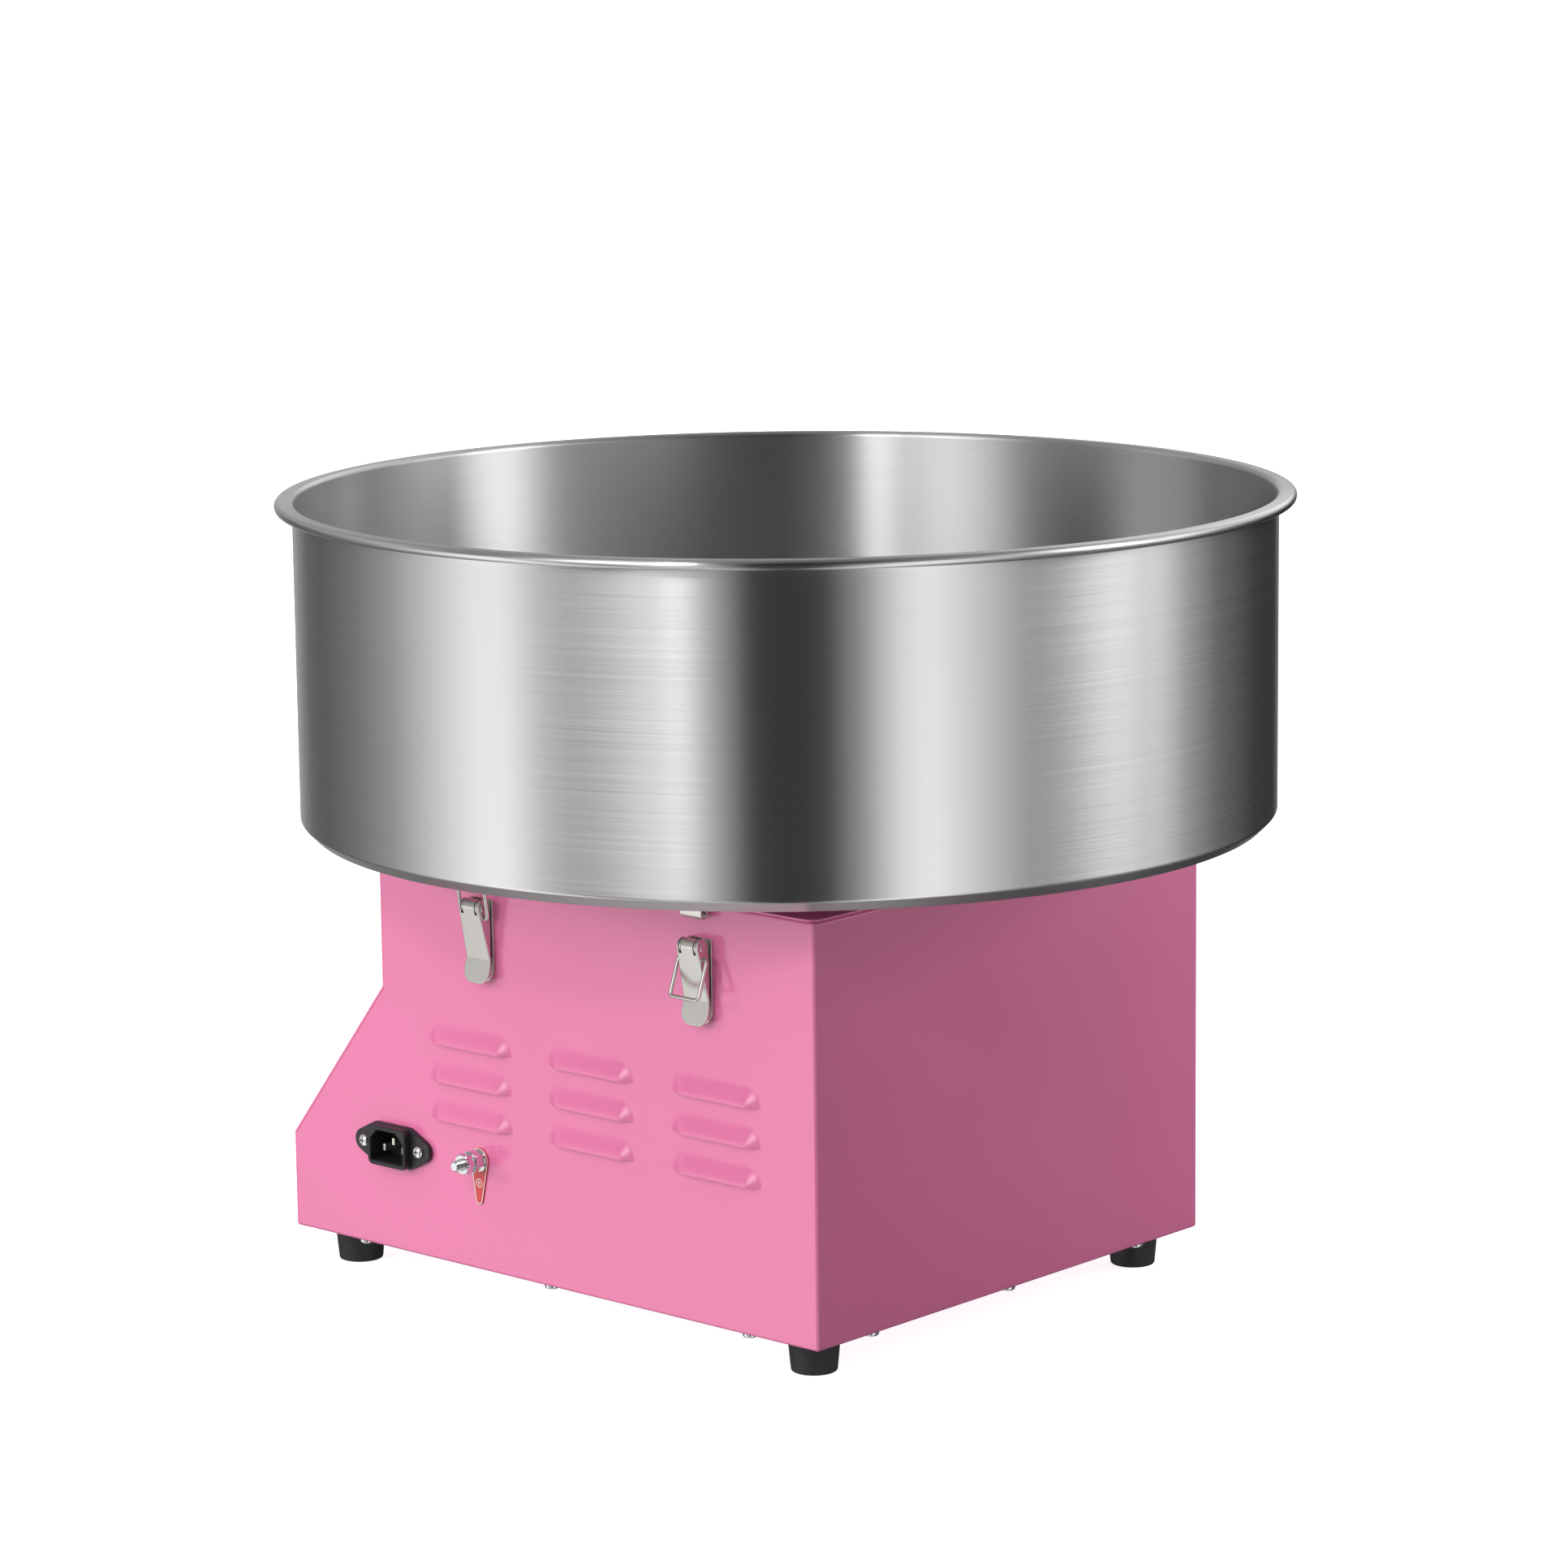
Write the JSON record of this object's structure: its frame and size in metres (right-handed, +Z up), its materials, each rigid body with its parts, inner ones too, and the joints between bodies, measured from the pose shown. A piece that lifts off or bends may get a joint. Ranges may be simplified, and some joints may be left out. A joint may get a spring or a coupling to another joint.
{
  "type": "cotton candy machine",
  "caption": "Table-top cotton candy machine: pink steel case with sloped control panel, latched lift-off steel bowl and a motor-driven spinning head.",
  "frame": {"origin": "on the floor below the axis of the head and bowl, at the height of the feet's undersides", "axes": "+Z up along the head's axis, -Y towards the operator and the sloped control panel, +X towards the side with the mains inlet"},
  "size_m": [0.5199, 0.52, 0.4125],
  "materials": {
    "case_paint": "gloss powder coat",
    "bowl_steel": "brushed round the wall",
    "stainless": "satin",
    "latch_nickel": "satin nickel",
    "zinc_plate": "bright zinc plate",
    "rubber": "moulded matt",
    "black_plastic": "fine moulded grain",
    "gloss_black": "moulded gloss",
    "brass": "turned",
    "tag_red": "enamel",
    "lens_clear": "clear",
    "dial_white": "matt",
    "needle_black": "matt",
    "rocker_red": "translucent gloss",
    "rocker_green": "translucent gloss",
    "motor_paint": "semi-gloss",
    "cast_aluminium": "machined casting",
    "ferrite": "matt",
    "rotor_copper": "laminations and windings",
    "phenolic": "moulded",
    "carbon": "matt",
    "element_steel": "heat tinted",
    "white_ceramic": "unglazed"
  },
  "bodies": {
    "case": {"side_wrap": "case_paint", "front_panel": "case_paint", "top_plate": "case_paint", "bottom_plate": "case_paint", "guard_ring": "stainless", "guard_screws": "zinc_plate", "feet": "rubber", "foot_screws": "zinc_plate", "case_screws": "zinc_plate", "inlet_body": "black_plastic", "inlet_pins": "brass", "inlet_screws": "zinc_plate", "earth_stud": "zinc_plate", "earth_nuts": "zinc_plate", "earth_tag": "tag_red", "latch_bases": "latch_nickel", "latch_rivets": "latch_nickel", "voltmeter_case": "gloss_black", "voltmeter_dial": "dial_white", "voltmeter_lens": "lens_clear", "switch_bodies": "gloss_black", "heat_control": "black_plastic", "heat_nut": "zinc_plate", "dial_plate": "stainless", "motor_can": "motor_paint", "motor_cap": "cast_aluminium", "motor_magnets": "ferrite", "motor_plate": "zinc_plate", "motor_screws": "zinc_plate", "hanger_bolts": "zinc_plate", "hanger_spacers": "stainless", "rubber_dampers": "rubber", "motor_bearings": "zinc_plate", "brush_holder": "phenolic", "carbon_brushes": "carbon"},
    "head": {"drive_shaft": "zinc_plate", "rotor": "rotor_copper", "cooling_fan": "black_plastic", "slip_rings": "brass", "spinner_pan": "cast_aluminium", "heating_element": "element_steel", "element_posts": "white_ceramic", "floss_screen": "stainless", "spinner_lid": "cast_aluminium", "lid_screws": "zinc_plate"},
    "bowl": {"bowl": "bowl_steel", "bowl_hooks": "latch_nickel"},
    "latch_lever_front_right": {"latch_lever_front_right": "latch_nickel"},
    "latch_bail_front_right": {"latch_bail_front_right": "latch_nickel"},
    "latch_lever_front_left": {"latch_lever_front_left": "latch_nickel"},
    "latch_bail_front_left": {"latch_bail_front_left": "latch_nickel"},
    "latch_lever_rear_right": {"latch_lever_rear_right": "latch_nickel"},
    "latch_bail_rear_right": {"latch_bail_rear_right": "latch_nickel"},
    "latch_lever_rear_left": {"latch_lever_rear_left": "latch_nickel"},
    "latch_bail_rear_left": {"latch_bail_rear_left": "latch_nickel"},
    "power_rocker": {"power_rocker": "rocker_red"},
    "heat_rocker": {"heat_rocker": "rocker_green"},
    "heat_knob": {"heat_knob": "black_plastic", "heat_shaft": "zinc_plate"},
    "voltmeter_needle": {"voltmeter_needle": "needle_black"}
  },
  "joints": [
    {"name": "head_spin", "type": "hinge", "parent": "case", "child": "head", "pos_m": [0, 0, 0.27], "axis": [0, 0, 1], "continuous": true},
    {"name": "bowl_lift", "type": "slide", "parent": "case", "child": "bowl", "axis": [0, 0, 1], "range_m": [0, 0.2]},
    {"name": "lever_front_right_turn", "type": "hinge", "parent": "case", "child": "latch_lever_front_right", "pos_m": [0.1565, -0.074, 0.211], "axis": [0, -1, 0], "range_deg": [0, 120]},
    {"name": "bail_front_right_turn", "type": "hinge", "parent": "latch_lever_front_right", "child": "latch_bail_front_right", "pos_m": [0.1558, -0.074, 0.2053], "axis": [0, -1, 0], "range_deg": [-120, 0]},
    {"name": "lever_front_left_turn", "type": "hinge", "parent": "case", "child": "latch_lever_front_left", "pos_m": [-0.1565, -0.074, 0.211], "axis": [0, 1, 0], "range_deg": [0, 120]},
    {"name": "bail_front_left_turn", "type": "hinge", "parent": "latch_lever_front_left", "child": "latch_bail_front_left", "pos_m": [-0.1558, -0.074, 0.2053], "axis": [0, 1, 0], "range_deg": [-120, 0]},
    {"name": "lever_rear_right_turn", "type": "hinge", "parent": "case", "child": "latch_lever_rear_right", "pos_m": [0.1565, 0.0765, 0.211], "axis": [0, -1, 0], "range_deg": [0, 120]},
    {"name": "bail_rear_right_turn", "type": "hinge", "parent": "latch_lever_rear_right", "child": "latch_bail_rear_right", "pos_m": [0.1558, 0.0765, 0.2053], "axis": [0, 1, 0], "range_deg": [-120, 0]},
    {"name": "lever_rear_left_turn", "type": "hinge", "parent": "case", "child": "latch_lever_rear_left", "pos_m": [-0.1565, 0.0765, 0.211], "axis": [0, 1, 0], "range_deg": [0, 120]},
    {"name": "bail_rear_left_turn", "type": "hinge", "parent": "latch_lever_rear_left", "child": "latch_bail_rear_left", "pos_m": [-0.1558, 0.0765, 0.2053], "axis": [0, -1, 0], "range_deg": [-120, 0]},
    {"name": "power_rock", "type": "hinge", "parent": "case", "child": "power_rocker", "pos_m": [-0.104, -0.18304, 0.1122], "axis": [1, 0, 0], "range_deg": [0, 18]},
    {"name": "heat_rock", "type": "hinge", "parent": "case", "child": "heat_rocker", "pos_m": [-0.062, -0.18304, 0.1122], "axis": [1, 0, 0], "range_deg": [0, 18]},
    {"name": "heat_turn", "type": "hinge", "parent": "case", "child": "heat_knob", "pos_m": [0.088, -0.18892, 0.11685], "axis": [0, -0.7843, 0.6204], "range_deg": [-270, 0]},
    {"name": "needle_swing", "type": "hinge", "parent": "case", "child": "voltmeter_needle", "pos_m": [0, -0.19418, 0.10698], "axis": [0, -0.7843, 0.6204], "range_deg": [-90, 0], "stiffness_Nm_per_rad": 0.0002}
  ],
  "couplings": [
    {"joint": "bail_front_right_turn", "follows": "lever_front_right_turn", "ratio": -1},
    {"joint": "bail_front_left_turn", "follows": "lever_front_left_turn", "ratio": -1}
  ]
}
